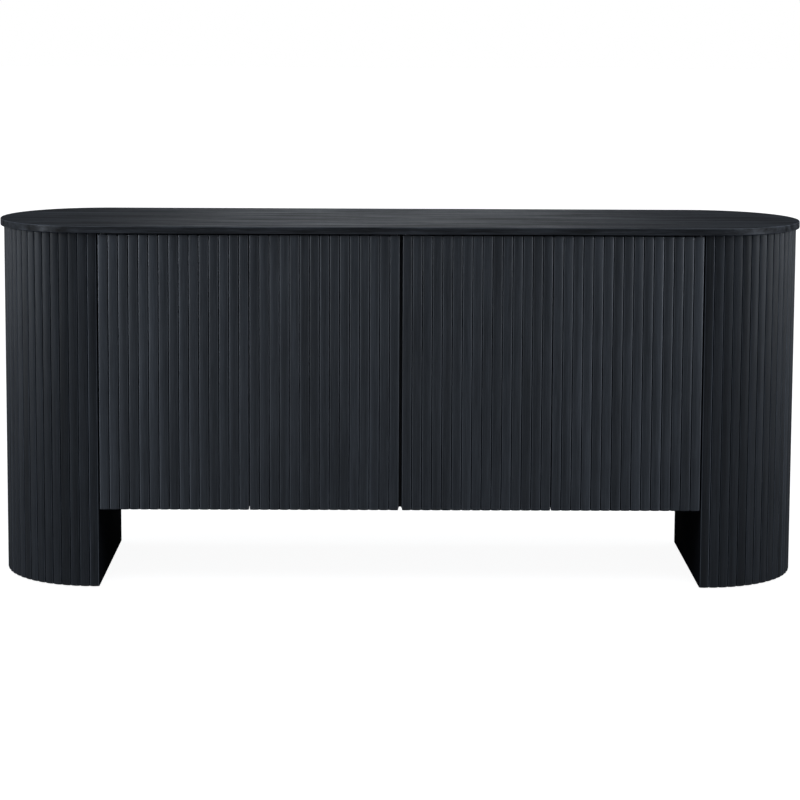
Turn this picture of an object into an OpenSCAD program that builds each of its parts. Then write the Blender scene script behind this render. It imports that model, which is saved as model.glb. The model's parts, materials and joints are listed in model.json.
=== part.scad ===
// Four-door sideboard with two half-round fluted ends that are also its legs.
// Millimetres. Front faces -Y, +Z is up, and the origin is on the floor
// under the middle of the top.

/* [Overall size] */
// Width over the top slab
top_w = 1800; // [1700:10:2000]
// Depth over the top slab
top_d = 450; // [430:5:480]
// Height from the floor to the top face
total_h = 800; // [780:5:860]
// Thickness of the top slab
top_t = 16; // [14:1:20]
// Chamfer on the top and bottom arris of the slab
top_arris = 1.5; // [1:0.5:3]
// How far the slab stands out past the fluted faces
overhang = 8; // [6:1:12]

/* [Fluting] */
// Thickness of a slat
slat_t = 6; // [5:0.5:7]
// Width of the groove between two slats
slat_gap = 1.4; // [0.8:0.1:2]
// Radius of the two front arrises of a slat
slat_arris = 2.5; // [2:0.1:3]
// How far the middle of a slat's face stands out past its edges
slat_crown = 2; // [0.5:0.1:3]
// Number of slats on each door
door_slats = 15; // [13:1:17]
// Number of slats round each end
end_slats = 33; // [31:1:35]

/* [Doors] */
// Height of the door bottoms above the floor
door_z0 = 175; // [160:1:200]
// Gap between the door tops and the slab
door_top_gap = 3; // [3:0.5:5]
// Gap between the two middle doors
centre_gap = 7; // [6:0.5:10]
// Gap between the two doors of one cupboard
pair_gap = 2; // [2:0.5:4]
// Gap between an outer door and its leg
hinge_gap = 2.5; // [2.5:0.5:4]
// Thickness of the board behind the slats
door_board_t = 20; // [19:1:21]

/* [Ends] */
// Flat stretch between a leg's inner face and the start of the round
leg_flat = 15; // [15:1:18]
// Thickness of the flat leg panel
leg_t = 16; // [16:1:18]
// Thickness of the bent plywood shell
shell_t = 9; // [8:1:12]
// Thickness of the half-round ribs inside an end
rib_t = 18; // [15:1:20]
// Height of a floor glide
glide_h = 3; // [2:1:5]
// Diameter of a floor glide
glide_d = 26; // [20:1:30]

/* [Carcass] */
// Thickness of the sides, partition, bottom and sub-top
board_t = 18; // [18:1:19]
// Thickness of the back panels
back_t = 6; // [5:1:8]
// How far the carcass underside sits above the door bottoms
underside_lift = 2; // [2:1:2]
// How far the carcass front edges sit behind the door faces
front_setback = 29; // [29:1:32]
// Thickness of a shelf
shelf_t = 16; // [15:1:20]
// Height of the shelf undersides above the floor
shelf_z = 472; // [440:1:500]

/* [Pivot hinges] */
// Distance from a door's hinge edge to its pivot axis
pivot_in = 9; // [9:0.5:10]
// Distance from a door's front face to its pivot axis
pivot_back = 8; // [7.5:0.5:8]
// Diameter of a pivot pin
pin_d = 4; // [3:0.5:4]
// Radial running clearance of a pin in a door leaf
pin_clearance = 0.05; // [0.03:0.01:0.08]
// Thickness of a hinge leaf or plate
leaf_t = 2; // [2:1:2]

/* [Push latches] */
// Diameter of a latch plunger
plunger_d = 8; // [6:0.5:9]
// Radial running clearance of a plunger in its housing
plunger_clearance = 0.06; // [0.04:0.01:0.1]
// Stroke of a plunger
plunger_stroke = 2.5; // [2:0.5:4]
// Distance from a door's free edge to its latch
latch_in = 25; // [22:1:40]

/* [Hidden] */
$fn = 96;
eps = 1;
end_r = top_d / 2;
arc_x = top_w / 2 - end_r;
leg_x = arc_x - leg_flat;
slat_r = end_r - overhang;
core_r = slat_r - slat_t;
slab_z = total_h - top_t;

door_w = (2 * leg_x - centre_gap - 2 * pair_gap - 2 * hinge_gap) / 4;
door_z1 = slab_z - door_top_gap;
door_t = slat_t + door_board_t;
door_slat_w = (door_w - (door_slats - 1) * slat_gap) / door_slats;

arc_len = PI * slat_r;
end_pitch = (2 * leg_flat + arc_len) / end_slats;
end_slat_w = end_pitch - slat_gap;
end_slat_z1 = slab_z - 0.5;
arris_steps = 4;
crown_steps = 6;
// How far a slat runs into the round core before its back is cut to the curve
slat_seat = 0.5;

carcass_z0 = door_z0 + underside_lift;
carcass_y0 = -slat_r + front_setback;
carcass_y1 = core_r - back_t;
inner_x = leg_x - board_t;
floor_z = carcass_z0 + board_t;
ceiling_z = slab_z - board_t;

leaf_end_r = 4.5;
leaf_len = 45;
leaf_w = 12;
leaf_y = slat_t + 0.5;
leaf_screws_x = [pivot_in + 16, pivot_in + 36];
washer_t = 0.9;
washer_gap = door_top_gap - leaf_t;
notch_h = leaf_t + washer_gap;
notch_front = pivot_back - 5.7;
notch_side = pivot_in + 5.1;
plate_foot_w = 20;
plate_foot_y0 = pivot_back + 22;
plate_foot_y1 = pivot_back + 62;
plate_screws_y = [plate_foot_y0 + 12, plate_foot_y0 + 30];

shelf_pin_d = 5;
shelf_pin_half = 8;
shelf_pin_ys = [-150, 170];
shelf_pin_z = shelf_z - shelf_pin_d / 2;
shelf_hole_step = 32;
shelf_hole_depth = 8.4;

latch_x = door_w - latch_in;
housing_w = 18;
housing_h = 14;
housing_y0 = door_t + 5;
housing_len = 70;
ear_w = 9;
ear_t = 3;
ear_len = 14;
latch_z = ceiling_z - housing_h / 2;
plunger_y0 = door_t + 0.3;
plunger_len = 52;
strike_d = 20;
strike_t = 1.5;

bolt_ys = [-120, 120];
bolt_zs = [250, 700];
bolt_head_r = 7.5;
bolt_head_h = 4;
bolt_r = 4;
bolt_tip_x = leg_x + 12;
bolt_drive_d = 6;

stained = [0.09, 0.095, 0.105];
stained_top = [0.13, 0.135, 0.145];
dark_board = [0.06, 0.065, 0.07];
steel = [0.55, 0.56, 0.58];
black_steel = [0.05, 0.05, 0.055];
dark_plastic = [0.15, 0.15, 0.16];

// ---- Shared shapes ----

// A block from its lowest to its highest corner.
module block(lo, hi) {
    translate(lo) cube(hi - lo);
}

// The same thing on both sides of the middle plane.
module both_sides() {
    children();
    mirror([1, 0, 0]) children();
}

// The left-hand copy of something drawn for the right-hand end.
module on_side(left) {
    if (left) mirror([1, 0, 0]) children();
    else children();
}

// A countersunk screw along +Z with its head face at z = 0.
module countersunk(head_r, head_h, shank_r, length) {
    cylinder(r1 = head_r, r2 = shank_r, h = head_h);
    cylinder(r = shank_r, h = length);
}

// The cross recess in a screw head that faces -Z.
module cross_recess(size, depth) {
    for (turn = [0, 90])
        rotate(turn) translate([-size / 2, -size / 10, -eps]) cube([size, size / 5, eps + depth]);
}

// A wood screw with a cross recess.
module wood_screw(head_r, head_h, shank_r, length) {
    difference() {
        countersunk(head_r, head_h, shank_r, length);
        cross_recess(head_r, head_h * 0.6);
    }
}

// ---- Slats ----

// Points on an arc of radius r about (x, y), from one angle to another.
function arc_points(x, y, r, from, to, steps) = [
    for (i = [0 : steps]) let (a = from + (to - from) * i / steps)
        [x + r * cos(a), y + r * sin(a)]
];

// Plan of one slat: the crowned front faces -Y, and the back is at y = back_y.
module slat_plan(front_w, back_w, back_y = 0) {
    half = front_w / 2;
    crown_r = (half * half + slat_crown * slat_crown) / (2 * slat_crown);
    arris_x = half - slat_arris;
    arris_y = crown_r - slat_t - sqrt(pow(crown_r - slat_arris, 2) - pow(arris_x, 2));
    spread = asin(arris_x / (crown_r - slat_arris));
    inner = spread * crown_steps / (crown_steps + 2);
    polygon(concat(
        [[back_w / 2, back_y]],
        arc_points(arris_x, arris_y, slat_arris, 0, spread - 90, arris_steps),
        arc_points(0, crown_r - slat_t, crown_r, inner - 90, -90 - inner, crown_steps),
        arc_points(-arris_x, arris_y, slat_arris, -90 - spread, -180, arris_steps),
        [[-back_w / 2, back_y]]
    ));
}

// Middle and turn of the slat at distance s along the fluted outline of an end.
function end_slat_x(s) =
    s < leg_flat ? leg_x + s :
    s < leg_flat + arc_len ? arc_x :
    arc_x - (s - leg_flat - arc_len);
function end_slat_turn(s) =
    s < leg_flat ? 0 :
    s < leg_flat + arc_len ? (s - leg_flat) / slat_r * 180 / PI :
    180;

// Plan of the core that the end slats are glued to.
module core_plan(r) {
    translate([arc_x, 0]) circle(r = r, $fn = 180);
    translate([leg_x, -r]) square([max(leg_flat, leg_t), 2 * r]);
}

module end_slat_ring() {
    translate([0, 0, glide_h]) linear_extrude(end_slat_z1 - glide_h) difference() {
        for (i = [0 : end_slats - 1]) {
            s = (i + 0.5) * end_pitch;
            translate([end_slat_x(s), 0]) rotate(end_slat_turn(s)) translate([0, -core_r])
                slat_plan(end_slat_w, end_slat_w * (core_r - slat_seat) / slat_r, slat_seat);
        }
        core_plan(core_r);
    }
}

// ---- Top ----

// Half section of the slab, from the middle out to its edge.
module slab_section() {
    polygon([
        [0, slab_z], [end_r - top_arris, slab_z], [end_r, slab_z + top_arris],
        [end_r, total_h - top_arris], [end_r - top_arris, total_h], [0, total_h]
    ]);
}

module top_panel() {
    color(stained_top) difference() {
        union() {
            both_sides() translate([arc_x, 0, 0]) rotate(-90)
                rotate_extrude(angle = 180, $fn = 180) slab_section();
            for (side = [0, 1])
                mirror([0, side, 0]) translate([-arc_x, 0, 0]) rotate([90, 0, 90])
                    linear_extrude(2 * arc_x) slab_section();
        }
        top_screw_places() countersunk(4.5, 2.5, 2.25, 28);
        each_door() top_plate_screw_holes();
    }
}

// ---- Half-round ends ----

module end_shell() {
    color(dark_board) intersection() {
        translate([arc_x, 0, glide_h]) difference() {
            cylinder(r = core_r, h = slab_z - glide_h, $fn = 180);
            translate([0, 0, -eps])
                cylinder(r = core_r - shell_t, h = slab_z, $fn = 180);
        }
        block([leg_x + leg_t, -end_r, 0], [top_w, end_r, total_h]);
    }
}

module leg_panel() {
    color(dark_board) difference() {
        block([leg_x, -core_r, glide_h], [leg_x + leg_t, core_r, slab_z]);
        column_bolt_set();
    }
}

// Base board, middle rib and top rib.
module end_ribs() {
    color(dark_board) for (z = [glide_h, (slab_z - rib_t) / 2, slab_z - rib_t])
        intersection() {
            translate([arc_x, 0, z]) cylinder(r = core_r - shell_t, h = rib_t, $fn = 180);
            block([leg_x + leg_t, -end_r, 0], [top_w, end_r, total_h]);
        }
}

module floor_glides() {
    color(dark_plastic) both_sides()
        for (place = [[arc_x + 20, -150], [arc_x + 20, 150], [arc_x + 165, 0]])
            translate(place) cylinder(r1 = glide_d / 2 - 1, r2 = glide_d / 2, h = glide_h);
}

// ---- Carcass ----

// Bolts that hold the right-hand leg to the right-hand side.
module column_bolt_set() {
    for (y = bolt_ys, z = bolt_zs) translate([inner_x, y, z]) rotate([0, 90, 0]) {
        cylinder(r = bolt_head_r, h = bolt_head_h);
        cylinder(r = bolt_r, h = bolt_tip_x - inner_x);
    }
}

module column_bolts() {
    color(steel) both_sides() difference() {
        column_bolt_set();
        for (y = bolt_ys, z = bolt_zs) translate([inner_x - eps, y, z]) rotate([0, 90, 0])
            cylinder(d = bolt_drive_d, h = eps + 3, $fn = 6);
    }
}

// Rows of shelf pin holes, drilled towards +X from the plane x = 0.
module shelf_pin_holes() {
    for (y = shelf_pin_ys, step = [-2 : 2])
        translate([0, y, shelf_pin_z + step * shelf_hole_step]) rotate([0, 90, 0])
            cylinder(d = shelf_pin_d, h = shelf_hole_depth);
}

module side_board() {
    color(dark_board) difference() {
        block([inner_x, carcass_y0, carcass_z0], [leg_x, carcass_y1, slab_z]);
        column_bolt_set();
        translate([inner_x, 0, 0]) shelf_pin_holes();
        back_screw_places() countersunk(3.5, 2, 1.5, 22);
        each_door() bottom_plate_screw_holes();
    }
}

module centre_partition() {
    color(dark_board) difference() {
        block([-board_t / 2, carcass_y0, floor_z], [board_t / 2, carcass_y1, ceiling_z]);
        both_sides() translate([board_t / 2, 0, 0]) mirror([1, 0, 0]) shelf_pin_holes();
        back_screw_places() countersunk(3.5, 2, 1.5, 22);
    }
}

module bottom_board() {
    color(dark_board) difference() {
        block([-inner_x, carcass_y0, carcass_z0], [inner_x, carcass_y1, floor_z]);
        back_screw_places() countersunk(3.5, 2, 1.5, 22);
        each_door() bottom_plate_screw_holes();
    }
}

module sub_top() {
    color(dark_board) difference() {
        block([-inner_x, carcass_y0, ceiling_z], [inner_x, carcass_y1, slab_z]);
        top_screw_places() countersunk(4.5, 2.5, 2.25, 28);
        back_screw_places() countersunk(3.5, 2, 1.5, 22);
        each_door() latch_screw_places() countersunk(3, 1.5, 1.25, 12);
    }
}

// One back panel, on the +X side.
module back_panel() {
    color(dark_board) difference() {
        block([0, carcass_y1, carcass_z0], [leg_x, core_r, slab_z]);
        back_screw_places() countersunk(3.5, 2, 1.5, 22);
    }
}

// Places of the screws that hold the slab down, heads under the sub-top.
module top_screw_places() {
    for (x = [-560, -80, 80, 560], y = [-130, 150])
        translate([x, y, ceiling_z]) children();
}

module top_screws() {
    color(steel) top_screw_places() wood_screw(4.5, 2.5, 2.25, 28);
}

// Places of the screws round the two back panels, heads facing +Y.
module back_screw_places() {
    edge_x = leg_x - board_t / 2;
    edges = [
        for (z = [240, 480, 720], x = [board_t / 4, edge_x]) [x, z],
        for (x = [200, 440], z = [carcass_z0 + board_t / 2, slab_z - board_t / 2]) [x, z]
    ];
    both_sides() for (edge = edges)
        translate([edge.x, core_r, edge.y]) rotate([90, 0, 0]) children();
}

module back_screws() {
    color(steel) back_screw_places() wood_screw(3.5, 2, 1.5, 22);
}

// One shelf, on the +X side.
module shelf() {
    color(dark_board)
        block([board_t / 2 + 1, carcass_y0 + 14, shelf_z], [inner_x - 1, carcass_y1 - 2, shelf_z + shelf_t]);
}

module shelf_pins() {
    color(steel) both_sides()
        for (x = [board_t / 2, inner_x], y = shelf_pin_ys)
            translate([x - shelf_pin_half, y, shelf_pin_z]) rotate([0, 90, 0])
                cylinder(d = shelf_pin_d, h = 2 * shelf_pin_half);
}

// ---- Doors ----

// Doors are numbered 1 to 4 from the left. Doors 1 and 3 pivot at their left
// edge, doors 2 and 4 at their right edge.
function pivots_left(i) = i == 1 || i == 3;
function hinge_edge_x(i) =
    i == 1 ? -leg_x + hinge_gap :
    i == 2 ? -centre_gap / 2 :
    i == 3 ? centre_gap / 2 :
    leg_x - hinge_gap;

// Puts a shape drawn in door coordinates at door i. There x runs from the
// hinge edge to the free edge, y from the front face backwards, z from the floor.
module at_door(i) {
    translate([hinge_edge_x(i), -slat_r, 0]) on_side(!pivots_left(i)) children();
}

module each_door() {
    for (i = [1 : 4]) at_door(i) children();
}

// Plan of a knife hinge leaf, round at the pivot.
module leaf_plan() {
    translate([pivot_in, pivot_back]) circle(r = leaf_end_r);
    translate([pivot_in, leaf_y]) square([leaf_len, leaf_w]);
}

module leaf_screw_places() {
    for (x = leaf_screws_x) translate([x, leaf_y + leaf_w / 2, 0]) children();
}

module leaf_screw_shape() {
    countersunk(3, 1.5, 1.5, 16);
}

// Screw holes of the top leaf (down from the door top) and the bottom leaf.
module door_screw_holes() {
    translate([0, 0, door_z1]) leaf_screw_places() mirror([0, 0, 1]) leaf_screw_shape();
    translate([0, 0, door_z0 + notch_h]) leaf_screw_places() leaf_screw_shape();
}

// Everything the hinges take out of a door.
module hinge_cuts() {
    translate([0, 0, door_z1 - leaf_t]) linear_extrude(leaf_t + eps) leaf_plan();
    translate([0, 0, door_z0 - eps]) linear_extrude(eps + notch_h + leaf_t) leaf_plan();
    block([-eps, notch_front, door_z0 - eps], [notch_side, door_t + eps, door_z0 + notch_h]);
}

module door_board(i) {
    color(stained) at_door(i) difference() {
        block([0, slat_t, door_z0], [door_w, door_t, door_z1]);
        hinge_cuts();
        door_screw_holes();
        strike_disc();
    }
}

module door_slat_row(i) {
    color(stained) at_door(i) difference() {
        for (n = [0 : door_slats - 1])
            translate([door_slat_w / 2 + n * (door_slat_w + slat_gap), slat_t, door_z0])
                linear_extrude(door_z1 - door_z0) slat_plan(door_slat_w, door_slat_w);
        hinge_cuts();
    }
}

// Both hinge leaves of a door, let in flush at its top and bottom.
module pivot_leaves(i) {
    color(black_steel) at_door(i) difference() {
        for (z = [door_z0 + notch_h, door_z1 - leaf_t])
            translate([0, 0, z]) linear_extrude(leaf_t) leaf_plan();
        translate([pivot_in, pivot_back, 0]) cylinder(r = pin_d / 2 + pin_clearance, h = total_h);
        door_screw_holes();
    }
}

module leaf_screws(i) {
    color(black_steel) at_door(i) {
        translate([0, 0, door_z1]) leaf_screw_places() mirror([0, 0, 1]) wood_screw(3, 1.5, 1.5, 16);
        translate([0, 0, door_z0 + notch_h]) leaf_screw_places() wood_screw(3, 1.5, 1.5, 16);
    }
}

module strike_disc() {
    translate([latch_x, door_t, latch_z]) rotate([90, 0, 0]) cylinder(d = strike_d, h = strike_t);
}

module strike(i) {
    color(steel) at_door(i) strike_disc();
}

// ---- Fixed half of the hinges ----

// Screw holes of the fixed plates, in door coordinates.
module top_plate_screw_holes() {
    translate([0, 0, slab_z - leaf_t]) leaf_screw_places() countersunk(3, 1.5, 1.5, 12);
}

module bottom_plate_screw_holes() {
    for (y = plate_screws_y) translate([pivot_in, y, door_z0]) countersunk(3, 1.5, 1.5, 14);
}

module top_pivot_plates() {
    color(black_steel) each_door() difference() {
        translate([0, 0, slab_z - leaf_t]) linear_extrude(leaf_t) leaf_plan();
        translate([pivot_in, pivot_back, 0]) cylinder(d = pin_d, h = total_h);
        top_plate_screw_holes();
    }
}

module bottom_pivot_plates() {
    color(black_steel) each_door() difference() {
        translate([0, 0, door_z0]) linear_extrude(leaf_t) {
            translate([pivot_in, pivot_back]) circle(r = leaf_end_r);
            translate([pivot_in - leaf_end_r, pivot_back])
                square([2 * leaf_end_r, plate_foot_y1 - pivot_back]);
            translate([pivot_in - plate_foot_w / 2, plate_foot_y0])
                square([plate_foot_w, plate_foot_y1 - plate_foot_y0]);
        }
        translate([pivot_in, pivot_back, 0]) cylinder(d = pin_d, h = total_h);
        bottom_plate_screw_holes();
    }
}

// Two pins a door, each held by its fixed plate and turning in the door's leaf.
module pivot_pins() {
    pin_len = 2 * leaf_t + washer_gap;
    color(steel) each_door() for (z = [door_z0, slab_z - pin_len])
        translate([pivot_in, pivot_back, z]) cylinder(d = pin_d, h = pin_len);
}

module pivot_washers() {
    color(dark_plastic) each_door()
        for (z = [door_z0 + leaf_t, slab_z - leaf_t - washer_t])
            translate([pivot_in, pivot_back, z]) difference() {
                cylinder(r = leaf_end_r - 0.3, h = washer_t);
                translate([0, 0, -eps]) cylinder(d = pin_d, h = washer_t + 2 * eps);
            }
}

module plate_screws() {
    color(black_steel) each_door() {
        translate([0, 0, slab_z - leaf_t]) leaf_screw_places() wood_screw(3, 1.5, 1.5, 12);
        for (y = plate_screws_y) translate([pivot_in, y, door_z0]) wood_screw(3, 1.5, 1.5, 14);
    }
}

// ---- Push latches ----

module latch_screw_places() {
    for (side = [-1, 1])
        translate([
            latch_x + side * (housing_w + ear_w) / 2,
            housing_y0 + housing_len / 2,
            ceiling_z - ear_t
        ]) children();
}

module latch_housings() {
    bore_r = plunger_d / 2 + plunger_clearance;
    bore_y1 = plunger_y0 + plunger_len + plunger_stroke + 1;
    ear_y = housing_y0 + (housing_len - ear_len) / 2;
    color(dark_plastic) each_door() difference() {
        union() {
            translate([latch_x - housing_w / 2, housing_y0, ceiling_z - housing_h])
                cube([housing_w, housing_len, housing_h]);
            translate([latch_x - housing_w / 2 - ear_w, ear_y, ceiling_z - ear_t])
                cube([housing_w + 2 * ear_w, ear_len, ear_t]);
        }
        translate([latch_x, bore_y1, latch_z]) rotate([90, 0, 0]) cylinder(r = bore_r, h = bore_y1);
        latch_screw_places() countersunk(3, 1.5, 1.25, 12);
    }
}

module latch_screws() {
    color(steel) each_door() latch_screw_places() wood_screw(3, 1.5, 1.25, 12);
}

module latch_plunger(i) {
    tip_h = 1;
    color(dark_plastic) at_door(i) translate([latch_x, plunger_y0, latch_z]) rotate([-90, 0, 0]) {
        cylinder(r1 = plunger_d / 2 - tip_h, r2 = plunger_d / 2, h = tip_h);
        translate([0, 0, tip_h]) cylinder(d = plunger_d, h = plunger_len - tip_h);
    }
}

// ---- Nodes ----

top_panel();
color(stained) on_side(true) end_slat_ring();  // left_end_slats
color(stained) on_side(false) end_slat_ring();  // right_end_slats
on_side(true) end_shell();  // left_end_shell
on_side(false) end_shell();  // right_end_shell
on_side(true) leg_panel();  // left_leg_panel
on_side(false) leg_panel();  // right_leg_panel
on_side(true) end_ribs();  // left_end_ribs
on_side(false) end_ribs();  // right_end_ribs
floor_glides();
on_side(true) side_board();  // carcass_left_side
on_side(false) side_board();  // carcass_right_side
centre_partition();
bottom_board();
sub_top();
on_side(true) back_panel();  // back_panel_left
on_side(false) back_panel();  // back_panel_right
on_side(true) shelf();  // left_shelf
on_side(false) shelf();  // right_shelf
shelf_pins();
column_bolts();
top_screws();
back_screws();
top_pivot_plates();
bottom_pivot_plates();
pivot_pins();
pivot_washers();
plate_screws();
latch_housings();
latch_screws();
latch_plunger(1);  // latch_plunger_1
latch_plunger(2);  // latch_plunger_2
latch_plunger(3);  // latch_plunger_3
latch_plunger(4);  // latch_plunger_4
door_board(1);  // door_1_board
door_board(2);  // door_2_board
door_board(3);  // door_3_board
door_board(4);  // door_4_board
door_slat_row(1);  // door_1_slats
door_slat_row(2);  // door_2_slats
door_slat_row(3);  // door_3_slats
door_slat_row(4);  // door_4_slats
pivot_leaves(1);  // door_1_pivot_leaves
pivot_leaves(2);  // door_2_pivot_leaves
pivot_leaves(3);  // door_3_pivot_leaves
pivot_leaves(4);  // door_4_pivot_leaves
leaf_screws(1);  // door_1_leaf_screws
leaf_screws(2);  // door_2_leaf_screws
leaf_screws(3);  // door_3_leaf_screws
leaf_screws(4);  // door_4_leaf_screws
strike(1);  // door_1_strike
strike(2);  // door_2_strike
strike(3);  // door_3_strike
strike(4);  // door_4_strike
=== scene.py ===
"""Looks of a four-door sideboard with half-round fluted ends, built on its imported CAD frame.

Metres, with the frame's axes: +X to the right seen from the front, doors facing -Y, +Z up.
"""

import json
import math
import random

import bmesh
import bpy
from mathutils import Matrix, Vector


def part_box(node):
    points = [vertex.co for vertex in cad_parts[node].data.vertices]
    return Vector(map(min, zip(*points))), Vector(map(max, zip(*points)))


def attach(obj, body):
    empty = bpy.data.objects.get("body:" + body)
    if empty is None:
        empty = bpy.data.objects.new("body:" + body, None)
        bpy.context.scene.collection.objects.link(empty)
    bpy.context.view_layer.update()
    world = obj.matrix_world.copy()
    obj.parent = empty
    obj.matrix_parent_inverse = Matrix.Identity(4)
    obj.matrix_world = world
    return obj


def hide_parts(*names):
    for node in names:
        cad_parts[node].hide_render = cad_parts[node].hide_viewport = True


MM = 0.001
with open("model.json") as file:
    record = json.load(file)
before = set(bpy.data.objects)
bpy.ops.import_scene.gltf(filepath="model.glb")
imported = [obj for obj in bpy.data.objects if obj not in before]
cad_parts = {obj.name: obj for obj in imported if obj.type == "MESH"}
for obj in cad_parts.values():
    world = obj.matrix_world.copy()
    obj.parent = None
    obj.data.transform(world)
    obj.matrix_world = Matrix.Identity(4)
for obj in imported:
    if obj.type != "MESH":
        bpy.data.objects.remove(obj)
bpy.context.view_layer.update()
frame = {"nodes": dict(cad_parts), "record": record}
TOP_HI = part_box("top_panel")[1]
TOP_RADIUS = TOP_HI.y
ARC_X = TOP_HI.x - TOP_RADIUS


# ---- Camera ----

CAMERA_PLACE = Vector((-0.0467, -5.074, 1.279))
CAMERA_YAW = -0.0090
CAMERA_PITCH_DOWN = 0.1041
CAMERA_ROLL = 0.0049
CAMERA_SENSOR_MM = 36.0
CAMERA_LENS_MM = 101.5
CAMERA_SHIFT_Y = -0.2


def add_camera():
    data = bpy.data.cameras.new("camera")
    data.sensor_width = CAMERA_SENSOR_MM
    data.lens = CAMERA_LENS_MM
    data.shift_y = CAMERA_SHIFT_Y
    camera = bpy.data.objects.new("camera", data)
    bpy.context.scene.collection.objects.link(camera)
    upright = Matrix.Rotation(math.pi / 2, 4, "X")
    turn = Matrix.Rotation(CAMERA_YAW, 4, "Z")
    tilt = Matrix.Rotation(-CAMERA_PITCH_DOWN, 4, "X")
    roll = Matrix.Rotation(CAMERA_ROLL, 4, "Z")
    camera.matrix_world = Matrix.Translation(CAMERA_PLACE) @ turn @ tilt @ upright @ roll
    bpy.context.scene.camera = camera


# ---- Lights ----

LIGHT_COLOR = (0.92, 0.97, 1.03)
STRIP = (0.3, 1.1)
BY_THE_DOORS = (1.9, -0.72, 1.0)
ACROSS_THE_DOORS = (0.4, -0.2, 0.5)
ROUND_END = (0.75, 0, 0.5)
# Lights on the right, each with a twin on the left: name, place, aim, size, watts, what it lights
SIDE_LIGHTS = (
    ("door_strip", BY_THE_DOORS, ACROSS_THE_DOORS, STRIP, 26, "front"),
    ("slab_strip", BY_THE_DOORS, ACROSS_THE_DOORS, STRIP, 8, "slab"),
    ("end_fore", (2.1, -0.55, 1.0), ROUND_END, STRIP, 8, "end"),
    ("end_rear", (2.1, 0.35, 1.0), ROUND_END, STRIP, 4, "end"),
    ("side", (2.4, 0.9, 1.0), (0.8, 0, 0.45), (2.4, 1.4), 1.5, None),
)
OVERHEAD_STRENGTH = 1.3
OVERHEAD_ANGLE = math.radians(60)
OVERHEAD_TILT = math.radians(16)


def add_area(name, place, aim, size, watts):
    data = bpy.data.lights.new(name, "AREA")
    data.shape = "RECTANGLE"
    data.size, data.size_y = size
    data.energy = watts
    data.color = LIGHT_COLOR
    light = bpy.data.objects.new(name, data)
    light.location = place
    light.rotation_euler = (Vector(aim) - Vector(place)).to_track_quat("-Z", "Y").to_euler()
    light.visible_camera = False
    bpy.context.scene.collection.objects.link(light)
    return light


def lights_only(light, lit):
    group = bpy.data.collections.new(f"{light.name}_pieces")
    for piece in lit:
        group.objects.link(piece)
    light.light_linking.receiver_collection = group


def add_side_lights(pieces, side, end):
    for name, place, aim, size, watts, group in SIDE_LIGHTS:
        place = (side * place[0], *place[1:])
        aim = (side * aim[0], *aim[1:])
        light = add_area(f"{name}_{end}", place, aim, size, watts)
        if group:
            lights_only(light, pieces[end if group == "end" else group])


def add_overhead():
    sun = bpy.data.lights.new("overhead", "SUN")
    sun.energy = OVERHEAD_STRENGTH
    sun.angle = OVERHEAD_ANGLE
    sun.color = LIGHT_COLOR
    overhead = bpy.data.objects.new("overhead", sun)
    overhead.rotation_euler = (OVERHEAD_TILT, 0, 0)
    bpy.context.scene.collection.objects.link(overhead)


def add_lights(pieces):
    """Soft lights, linked so that the strips by the doors don't flare on the round ends."""
    add_side_lights(pieces, -1, "left")
    add_side_lights(pieces, 1, "right")
    add_area("softbox_back", (0, 3.4, 2.2), (0, 0, 0.8), (1.5, 0.8), 7.5)
    behind = add_area("behind", (0, 3.6, 1.1), (0, 0, 0.45), (2.6, 1.2), 60)
    lights_only(behind, pieces["left"] + pieces["right"] + pieces["back"])
    add_overhead()


# ---- Room and floor ----

ROOM_COLOR = (0.92, 0.97, 1.04, 1)
ROOM_FROM_Y = 0.3
ROOM_TO_Y = -0.7
ROOM_BEHIND = 0.015
ROOM_IN_FRONT = 0.30
WHITE = (1, 1, 1, 1)

FLOOR_HALF = 40.0
FLOOR_DROP = 0.2 * MM
FLOOR_GLOW = 0.93
FLOOR_SEEN = (0.4, 0.4, 0.4, 1)
FLOOR_BOUNCE = (0.22, 0.22, 0.22, 1)


def seen_or_lighting(tree, seen, lighting):
    """One shader for what the camera sees and another for the light it gives to the object."""
    path = tree.nodes.new("ShaderNodeLightPath")
    pick = tree.nodes.new("ShaderNodeMixShader")
    tree.links.new(path.outputs["Is Camera Ray"], pick.inputs[0])
    tree.links.new(lighting, pick.inputs[1])
    tree.links.new(seen, pick.inputs[2])
    return pick.outputs[0]


def add_world():
    """White to look at, and for lighting a dim room that is brighter in front of the doors."""
    world = bpy.data.worlds.new("studio")
    world.use_nodes = True
    tree = world.node_tree
    tree.nodes.clear()
    way = tree.nodes.new("ShaderNodeTexCoord")
    axes = tree.nodes.new("ShaderNodeSeparateXYZ")
    tree.links.new(way.outputs["Generated"], axes.inputs[0])
    ramp = tree.nodes.new("ShaderNodeMapRange")
    ramp.interpolation_type = "SMOOTHSTEP"
    tree.links.new(axes.outputs["Y"], ramp.inputs[0])
    for socket, value in enumerate((ROOM_FROM_Y, ROOM_TO_Y, ROOM_BEHIND, ROOM_IN_FRONT), 1):
        ramp.inputs[socket].default_value = value
    fill = tree.nodes.new("ShaderNodeBackground")
    fill.inputs["Color"].default_value = ROOM_COLOR
    tree.links.new(ramp.outputs[0], fill.inputs["Strength"])
    seen = tree.nodes.new("ShaderNodeBackground")
    seen.inputs["Color"].default_value = WHITE
    out = tree.nodes.new("ShaderNodeOutputWorld")
    tree.links.new(seen_or_lighting(tree, seen.outputs[0], fill.outputs[0]), out.inputs["Surface"])
    bpy.context.scene.world = world
    bpy.context.scene.view_settings.view_transform = "Standard"


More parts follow.
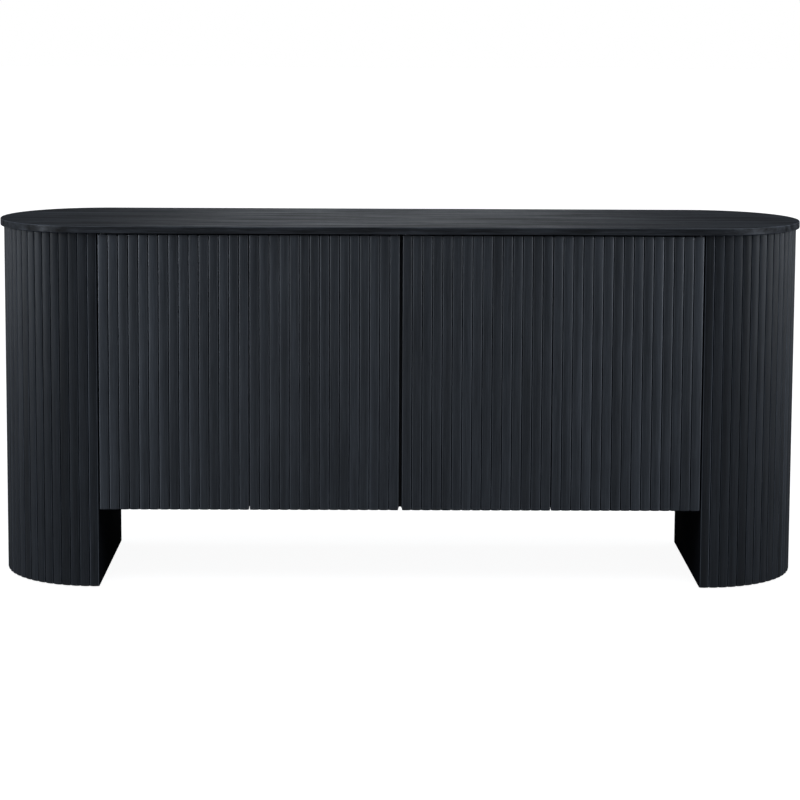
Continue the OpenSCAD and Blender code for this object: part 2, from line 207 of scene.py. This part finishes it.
def floor_material():
    """Evenly lit to look at, and giving only a little light back."""
    material = bpy.data.materials.new("pale_floor")
    material.use_nodes = True
    tree = material.node_tree
    tree.nodes.clear()
    glow = tree.nodes.new("ShaderNodeEmission")
    glow.inputs["Strength"].default_value = FLOOR_GLOW
    shadowed = tree.nodes.new("ShaderNodeBsdfDiffuse")
    shadowed.inputs["Color"].default_value = FLOOR_SEEN
    seen = tree.nodes.new("ShaderNodeAddShader")
    tree.links.new(glow.outputs[0], seen.inputs[0])
    tree.links.new(shadowed.outputs[0], seen.inputs[1])
    bounce = tree.nodes.new("ShaderNodeBsdfDiffuse")
    bounce.inputs["Color"].default_value = FLOOR_BOUNCE
    out = tree.nodes.new("ShaderNodeOutputMaterial")
    tree.links.new(seen_or_lighting(tree, seen.outputs[0], bounce.outputs[0]), out.inputs["Surface"])
    return material


def add_floor():
    mesh = bpy.data.meshes.new("floor")
    corners = [(x * FLOOR_HALF, y * FLOOR_HALF, -FLOOR_DROP) for x, y in ((-1, -1), (1, -1), (1, 1), (-1, 1))]
    mesh.from_pydata(corners, [], [(0, 1, 2, 3)])
    mesh.materials.append(floor_material())
    floor = bpy.data.objects.new("floor", mesh)
    bpy.context.scene.collection.objects.link(floor)


# ---- Materials ----

NOISE_LO = 0.3
NOISE_HI = 0.7


def new_material(name):
    material = bpy.data.materials.new(name)
    material.use_nodes = True
    return material, material.node_tree.nodes["Principled BSDF"]


class Graph:
    """Short calls for adding nodes to one material."""

    def __init__(self, material):
        self.tree = material.node_tree

    def feed(self, node, socket, source):
        if isinstance(source, bpy.types.NodeSocket):
            self.tree.links.new(source, node.inputs[socket])
        else:
            node.inputs[socket].default_value = source

    def node(self, kind, links=(), **values):
        made = self.tree.nodes.new(kind)
        for name, value in values.items():
            setattr(made, name, value)
        for socket, source in dict(links).items():
            self.feed(made, socket, source)
        return made

    def place(self):
        return self.node("ShaderNodeTexCoord").outputs["Object"]

    def attribute(self, name):
        return self.node("ShaderNodeAttribute", attribute_name=name).outputs["Fac"]

    def math(self, operation, a, b=0.0):
        return self.node("ShaderNodeMath", {0: a, 1: b}, operation=operation).outputs[0]

    def plus(self, a, b, times=1.0):
        """a + b * times"""
        return self.math("ADD", a, b if times == 1.0 else self.math("MULTIPLY", b, times))

    def vector(self, operation, a, b):
        return self.node("ShaderNodeVectorMath", {0: a, 1: b}, operation=operation).outputs[0]

    def scaled(self, color, factor):
        return self.node("ShaderNodeVectorMath", {0: color, 3: factor}, operation="SCALE").outputs[0]

    def noise(self, vector, scale, detail=2.0, roughness=0.5):
        links = {"Vector": vector, "Scale": scale, "Detail": detail, "Roughness": roughness}
        return self.node("ShaderNodeTexNoise", links).outputs["Fac"]

    def remap(self, value, from_lo, from_hi, to_lo, to_hi):
        links = {0: value, 1: from_lo, 2: from_hi, 3: to_lo, 4: to_hi}
        return self.node("ShaderNodeMapRange", links).outputs[0]

    def spread(self, noise, lo, hi):
        """A noise stretched over the values from lo to hi."""
        return self.remap(noise, NOISE_LO, NOISE_HI, lo, hi)

    def mix(self, factor, a, b):
        return self.node("ShaderNodeMix", {0: factor, 6: a, 7: b}, data_type="RGBA").outputs[2]

    def relief(self, shader, height, strength, distance):
        links = {"Height": height, "Strength": strength, "Distance": distance}
        self.feed(shader, "Normal", self.node("ShaderNodeBump", links).outputs[0])


# ---- Stained wood ----

GRAIN_STRETCH = 55
STREAK_STRETCH = 14
TONE_OFFSET = 7.3
TONE_SHADE = 0.14
CLOUD_SHADE = 0.08
CLOUD_GLOSS = 0.03
LINE_GLOSS = 0.07
PORE_SHADE = 0.25
PORE_GLOSS = 0.12
PORE_DEPTH = 0.5
# Painted shade: the factor that darkens the groove faces.
GROOVE_PAINTED_SHADE = 0.12
GROOVE_GLOSS = 0.4
ARRIS_GLOSS = 0.06
STREAK_GLOSS = 0.16
STREAK_DEPTH = 2.0
GRAIN_DEPTH = 0.25 * MM


def along_grain(g, place, along, stretch):
    factors = [1.0, 1.0, 1.0]
    factors[along] = 1 / stretch
    return g.vector("MULTIPLY", place, factors)


def wood(name, along, dark, light, rough, specular, bump=0.25, wear_and_highlight=0.0, streaks=0.0):
    """Stained wood with its grain along one axis, 0 for X, 1 for Y and 2 for Z."""
    material, shader = new_material(name)
    g = Graph(material)
    tone, arris, groove = (g.attribute(layer) for layer in ("tone", "arris", "groove"))
    place = g.vector("ADD", g.place(), g.math("MULTIPLY", tone, TONE_OFFSET))
    grain = along_grain(g, place, along, GRAIN_STRETCH)

    lines = g.noise(grain, scale=850.0, detail=3.0, roughness=0.65)
    bands = g.noise(grain, scale=95.0, roughness=0.55)
    pores = g.remap(g.noise(grain, scale=2100.0, detail=1.0), 0.60, 0.70, 0.0, 1.0)
    cloud = g.noise(place, scale=5.0)
    streak_place = along_grain(g, place, along, STREAK_STRETCH)
    streak = g.noise(streak_place, scale=58.0, detail=6.0, roughness=0.7)
    figure = g.plus(g.math("MULTIPLY", lines, 0.55), bands, times=0.45)

    shade = g.remap(tone, 0.0, 1.0, 1 - TONE_SHADE, 1 + TONE_SHADE)
    shade = g.plus(shade, g.spread(cloud, -CLOUD_SHADE, CLOUD_SHADE))
    shade = g.plus(shade, pores, times=-PORE_SHADE)
    shade = g.plus(shade, g.spread(streak, -streaks, streaks))
    # Arris faces lighter: partly wear where the stain is thin, partly a painted highlight.
    shade = g.plus(shade, g.math("MULTIPLY", arris, wear_and_highlight))
    # Groove faces darker: painted shade.
    shade = g.math("MULTIPLY", shade, g.remap(groove, 0.0, 1.0, 1.0, GROOVE_PAINTED_SHADE))
    color = g.mix(g.remap(figure, 0.36, 0.64, 0.0, 1.0), dark, light)
    g.feed(shader, "Base Color", g.scaled(color, shade))

    roughness = g.spread(lines, rough - LINE_GLOSS, rough + LINE_GLOSS)
    roughness = g.plus(roughness, pores, times=PORE_GLOSS)
    roughness = g.plus(roughness, g.spread(cloud, -CLOUD_GLOSS, CLOUD_GLOSS))
    roughness = g.plus(roughness, g.spread(streak, STREAK_GLOSS * streaks, -STREAK_GLOSS * streaks))
    roughness = g.plus(roughness, arris, times=-ARRIS_GLOSS)
    roughness = g.plus(roughness, groove, times=GROOVE_GLOSS)
    g.feed(shader, "Roughness", roughness)

    height = g.plus(figure, pores, times=-PORE_DEPTH)
    height = g.plus(height, g.math("MULTIPLY", streak, STREAK_DEPTH * streaks))
    g.relief(shader, height, bump, GRAIN_DEPTH)
    shader.inputs["Specular IOR Level"].default_value = specular
    return material


# ---- Steel and plastic ----

FINE_DEPTH = 0.05 * MM
BRUSHED_ALONG_Y = (1.0, 0.05, 1.0)
PLASTIC_DARK = (0.010, 0.010, 0.011, 1)
PLASTIC_LIGHT = (0.024, 0.024, 0.026, 1)


def plated_steel(name, dark, light):
    material, shader = new_material(name)
    g = Graph(material)
    place = g.place()
    brushed = g.noise(g.vector("MULTIPLY", place, BRUSHED_ALONG_Y), scale=3200.0)
    cloud = g.noise(place, scale=260.0, detail=3.0)
    g.feed(shader, "Base Color", g.mix(cloud, dark, light))
    g.feed(shader, "Roughness", g.remap(g.plus(brushed, cloud), 0.6, 1.4, 0.24, 0.46))
    g.relief(shader, brushed, 0.1, FINE_DEPTH)
    shader.inputs["Metallic"].default_value = 1.0
    return material


def moulded_plastic(name):
    material, shader = new_material(name)
    g = Graph(material)
    speckle = g.noise(g.place(), scale=2600.0)
    g.feed(shader, "Base Color", g.mix(speckle, PLASTIC_DARK, PLASTIC_LIGHT))
    g.feed(shader, "Roughness", g.spread(speckle, 0.46, 0.62))
    g.relief(shader, speckle, 0.2, FINE_DEPTH)
    return material


MATERIALS = {
    "stained_top": wood(
        "stained_top", 0, (0.010, 0.0115, 0.0145, 1), (0.044, 0.049, 0.058, 1),
        rough=0.52, specular=0.22, bump=0.5, wear_and_highlight=0.8, streaks=0.95),
    "stained_slats": wood(
        "stained_slats", 2, (0.0150, 0.0175, 0.0215, 1), (0.0330, 0.0375, 0.0450, 1),
        rough=0.48, specular=0.26, bump=0.30, wear_and_highlight=0.8, streaks=0.14),
    # Far darker than the other stained boards: painted shade for the leg panels and other parts that sit out
    # of the light.
    "dark_board": wood(
        "dark_board", 2, (0.0025, 0.0030, 0.0042, 1), (0.0055, 0.0064, 0.0085, 1),
        rough=0.90, specular=0.03, bump=0.15),
    "lying_board": wood(
        "lying_board", 0, (0.0180, 0.0200, 0.0240, 1), (0.0380, 0.0420, 0.0490, 1),
        rough=0.55, specular=0.35, bump=0.18),
    "standing_board": wood(
        "standing_board", 2, (0.0180, 0.0200, 0.0240, 1), (0.0380, 0.0420, 0.0490, 1),
        rough=0.58, specular=0.3, bump=0.18),
    # A darker copy of the stained wood: painted shade for the board seen at the bottom of the grooves.
    "door_board": wood(
        "door_board", 2, (0.0060, 0.0070, 0.0090, 1), (0.0120, 0.0138, 0.0170, 1),
        rough=0.55, specular=0.2, bump=0.2),
    "back_board": wood(
        "back_board", 2, (0.0130, 0.0145, 0.0175, 1), (0.0250, 0.0280, 0.0330, 1),
        rough=0.70, specular=0.2, bump=0.10),
    "steel": plated_steel("steel", (0.40, 0.41, 0.43, 1), (0.60, 0.60, 0.60, 1)),
    "black_steel": plated_steel("black_steel", (0.030, 0.031, 0.034, 1), (0.060, 0.061, 0.064, 1)),
    "black_plastic": moulded_plastic("black_plastic"),
}


# ---- What each CAD node is made of, and where it is in the model ----

SLAB = "top_panel"
LEFT_SLATS = "left_end_slats"
RIGHT_SLATS = "right_end_slats"
DOOR_SLATS = ("door_1_slats", "door_2_slats", "door_3_slats", "door_4_slats")
DOOR_BOARDS = ("door_1_board", "door_2_board", "door_3_board", "door_4_board")
LEG_PANELS = ("left_leg_panel", "right_leg_panel")
BACKS = ("back_panel_left", "back_panel_right")
STANDING = ("carcass_left_side", "carcass_right_side", "centre_partition")
LYING = ("bottom_board", "sub_top", "left_shelf", "right_shelf")
SHAPED = {SLAB, LEFT_SLATS, RIGHT_SLATS, *DOOR_SLATS, *DOOR_BOARDS, *LEG_PANELS, *BACKS, *STANDING, *LYING}

SLOT_OF = {row["node"]: row["material_slot"] for row in frame["record"]["subparts"]}
BODY_OF = {node: body for body, nodes in frame["record"]["behaviour"]["bodies"].items() for node in nodes}


def material_for(node):
    for nodes, name in ((DOOR_BOARDS, "door_board"), (STANDING, "standing_board"), (LYING, "lying_board")):
        if node in nodes:
            return MATERIALS[name]
    return MATERIALS[SLOT_OF[node]]


# ---- Mesh work on copies of the CAD nodes ----

WELD = 0.005 * MM
FLAT_ANGLE = math.radians(0.3)
SHARP_ANGLE = math.radians(34)
SHADING_WEIGHT = 80


def welded(node):
    """A bmesh of a CAD node with its doubled corners joined and its flat faces merged."""
    bm = bmesh.new()
    bm.from_mesh(frame["nodes"][node].data)
    bmesh.ops.remove_doubles(bm, verts=bm.verts, dist=WELD)
    bmesh.ops.dissolve_limit(bm, angle_limit=FLAT_ANGLE, verts=bm.verts, edges=bm.edges)
    return bm


def round_over(bm, edges, radius, segments):
    bmesh.ops.bevel(
        bm, geom=edges, offset=radius, segments=segments, profile=0.5, affect="EDGES", clamp_overlap=False)
    bm.normal_update()


def middle_of(edge):
    return (edge.verts[0].co + edge.verts[1].co) / 2


def outward(point):
    """Level direction that points straight out of the pill-shaped outline at a point."""
    if abs(point.x) > ARC_X:
        return Vector((point.x - math.copysign(ARC_X, point.x), point.y, 0)).normalized()
    return Vector((0, math.copysign(1, point.y), 0))


def reach(point):
    """Level distance of a point from the line between the centres of the two round ends."""
    return math.hypot(max(abs(point.x) - ARC_X, 0), point.y)


def finish_piece(bm, name, node):
    mesh = bpy.data.meshes.new(name)
    bm.to_mesh(mesh)
    bm.free()
    mesh.shade_smooth()
    mesh.set_sharp_from_angle(angle=SHARP_ANGLE)
    mesh.materials.append(material_for(node))
    piece = bpy.data.objects.new(name, mesh)
    bpy.context.scene.collection.objects.link(piece)
    shading = piece.modifiers.new("even_shading", "WEIGHTED_NORMAL")
    shading.keep_sharp = True
    shading.weight = SHADING_WEIGHT
    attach(piece, BODY_OF[node])
    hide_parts(node)
    return piece


def islands(bm):
    """The separate solids of a bmesh, each as a list of faces."""
    left = set(bm.faces)
    found = []
    while left:
        stack = [left.pop()]
        group = []
        while stack:
            face = stack.pop()
            group.append(face)
            for edge in face.edges:
                for other in edge.link_faces:
                    if other in left:
                        left.remove(other)
                        stack.append(other)
        found.append(group)
    return found


# ---- Fluted slats ----

SLAT_END_RADIUS = 2.3 * MM
ARRIS_MIN_TILT = 0.10
LEVEL_Z = 0.99
UPRIGHT_Z = 0.1
WALL_MIN_AREA = 100 * MM * MM
FACING_OUT = 0.05
GROOVE_MAX_Z = 0.5


def front_end_edges(bm):
    """Edges round the top and bottom of each slat, without those at its glued back."""
    found = []
    for edge in bm.edges:
        level = [f for f in edge.link_faces if abs(f.normal.z) > LEVEL_Z]
        walls = [f for f in edge.link_faces if abs(f.normal.z) < UPRIGHT_Z]
        if len(level) != 1 or len(walls) != 1:
            continue
        faces_out = walls[0].normal.dot(outward(middle_of(edge))) > FACING_OUT
        if faces_out and walls[0].calc_area() > WALL_MIN_AREA:
            found.append(edge)
    return found


def sort_place(faces):
    return min(face.calc_center_median().to_tuple(4) for face in faces)


def add_slats(node, seed, tone_spread, arris_wear_and_highlight, groove_tilt):
    """The CAD slats with rounded ends, an arris lightened partly by wear and partly as a painted highlight,
    grooves darkened as painted shade, and their own tone each.
    """
    bm = welded(node)
    round_over(bm, front_end_edges(bm), SLAT_END_RADIUS, segments=3)
    arris, groove, tone = (bm.faces.layers.float.new(layer) for layer in ("arris", "groove", "tone"))
    draw = random.Random(seed)
    for faces in sorted(islands(bm), key=sort_place):
        slat_tone = 0.5 + tone_spread * (draw.random() - 0.5)
        for face in faces:
            face[tone] = slat_tone
            tilt = 1 - face.normal.dot(outward(face.calc_center_median()))
            # Arris mask: partly wear, partly a painted highlight.
            face[arris] = arris_wear_and_highlight if ARRIS_MIN_TILT < tilt < groove_tilt else 0.0
            # Groove mask: painted shade in the wood colour, and rougher.
            face[groove] = 1.0 if tilt > groove_tilt and abs(face.normal.z) < GROOVE_MAX_Z else 0.0
    return finish_piece(bm, f"{node}_shaped", node)


# ---- Top slab ----

SLAB_EASE = 0.7 * MM
RIM_WIDTH = 4 * MM
RIM_MIN_TURN = math.radians(30)
RIM_MAX_TURN = math.radians(60)
SLANT_MIN_Z = 0.1
SLANT_MAX_Z = 0.97


def add_slab():
    """The slab with its rim eased, and lightened along the two arrises, partly as wear and partly as a
    painted highlight.
    """
    bm = welded(SLAB)
    rim = [
        e for e in bm.edges
        if RIM_MIN_TURN < e.calc_face_angle(0) < RIM_MAX_TURN and reach(middle_of(e)) > TOP_RADIUS - RIM_WIDTH
    ]
    round_over(bm, rim, SLAB_EASE, segments=2)
    arris = bm.faces.layers.float.new("arris")
    for face in bm.faces:
        # Slanted rim faces lighter in the wood: partly wear, partly a painted highlight.
        face[arris] = 1.0 if SLANT_MIN_Z < abs(face.normal.z) < SLANT_MAX_Z else 0.0
    return finish_piece(bm, f"{SLAB}_shaped", SLAB)


# ---- Boards ----

BOARD_EASE = 0.6 * MM
LONG_EDGE = 60 * MM
CORNER_MIN_TURN = math.radians(60)


def add_board(node):
    """A board with its long edges eased."""
    bm = welded(node)
    long_edges = [
        e for e in bm.edges
        if e.is_manifold and e.calc_length() > LONG_EDGE and e.calc_face_angle(0) > CORNER_MIN_TURN
    ]
    round_over(bm, long_edges, BOARD_EASE, segments=2)
    return finish_piece(bm, f"{node}_eased", node)


# ---- The whole model ----

def add_pieces():
    """Every replaced node by the group of lights that it takes."""
    pieces = {
        "slab": [add_slab()],
        "back": [add_board(node) for node in BACKS],
        "front": [add_board(node) for node in (*STANDING, *LYING, *LEG_PANELS, *DOOR_BOARDS)],
        # On the round ends: a stronger painted highlight on the arris and a wider band of painted shade in
        # the grooves.
        "left": [add_slats(LEFT_SLATS, 0, tone_spread=2.0, arris_wear_and_highlight=4.0, groove_tilt=0.35)],
        "right": [add_slats(RIGHT_SLATS, 1, tone_spread=2.0, arris_wear_and_highlight=4.0, groove_tilt=0.35)],
    }
    for seed, node in enumerate(DOOR_SLATS, 2):
        pieces["front"].append(add_slats(node, seed, tone_spread=1.0, arris_wear_and_highlight=1.2, groove_tilt=0.5))
    return pieces


add_camera()
add_world()
add_floor()
pieces = add_pieces()
for node, obj in frame["nodes"].items():
    if node not in SHAPED:
        obj.data.materials.clear()
        obj.data.materials.append(material_for(node))
        pieces["front"].append(obj)
add_lights(pieces)
